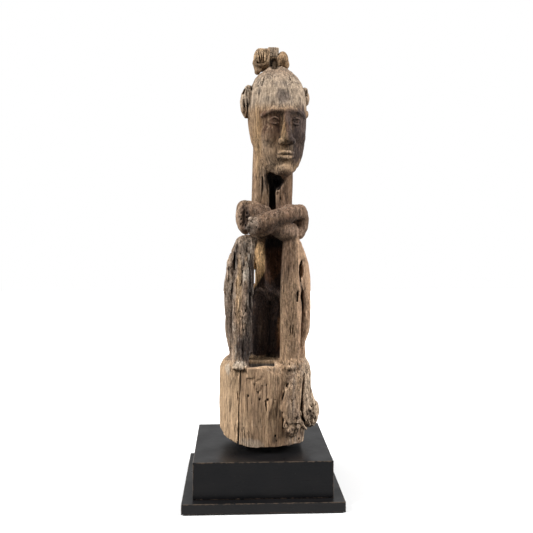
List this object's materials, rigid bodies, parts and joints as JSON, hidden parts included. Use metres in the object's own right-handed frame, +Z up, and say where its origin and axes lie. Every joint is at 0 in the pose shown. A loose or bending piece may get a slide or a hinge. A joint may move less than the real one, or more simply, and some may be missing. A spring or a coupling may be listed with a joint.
{
  "type": "carved ancestor figure on plinth",
  "caption": "Weathered wooden ancestor figure that squats on a drum with its forearms crossed above its knees and an ornament on its crown, on a stepped black plinth.",
  "frame": {"origin": "centre of the felt sheet's underside, under the middle of the plinth", "axes": "+Z up, -Y the way the figure faces, +X to the right of someone who looks at its front"},
  "size_m": [0.288, 0.288, 0.847],
  "materials": {
    "old_wood": "bare, dry and weathered, dark in its hollows",
    "grey_wood": "bare, weathered grey",
    "black_lacquer": "satin black paint, rubbed at the arrises",
    "raw_wood": "planed, unfinished",
    "steel": "plain",
    "felt": "matt felt"
  },
  "bodies": {
    "root": {"carved_figure": "old_wood", "crown_finial": "old_wood", "crown_peg": "grey_wood", "mount_rod_left": "steel", "spacer_sleeve_left": "steel", "washer_left": "steel", "hex_nut_left": "steel", "mount_rod_right": "steel", "spacer_sleeve_right": "steel", "washer_right": "steel", "hex_nut_right": "steel", "plinth_top": "black_lacquer", "plinth_front": "black_lacquer", "plinth_right": "black_lacquer", "plinth_back": "black_lacquer", "plinth_left": "black_lacquer", "corner_block_front_left": "raw_wood", "base_screw_front_left": "steel", "corner_block_front_right": "raw_wood", "base_screw_front_right": "steel", "corner_block_back_left": "raw_wood", "base_screw_back_left": "steel", "corner_block_back_right": "raw_wood", "base_screw_back_right": "steel", "base_board": "black_lacquer", "felt_sheet": "felt"}
  },
  "joints": []
}
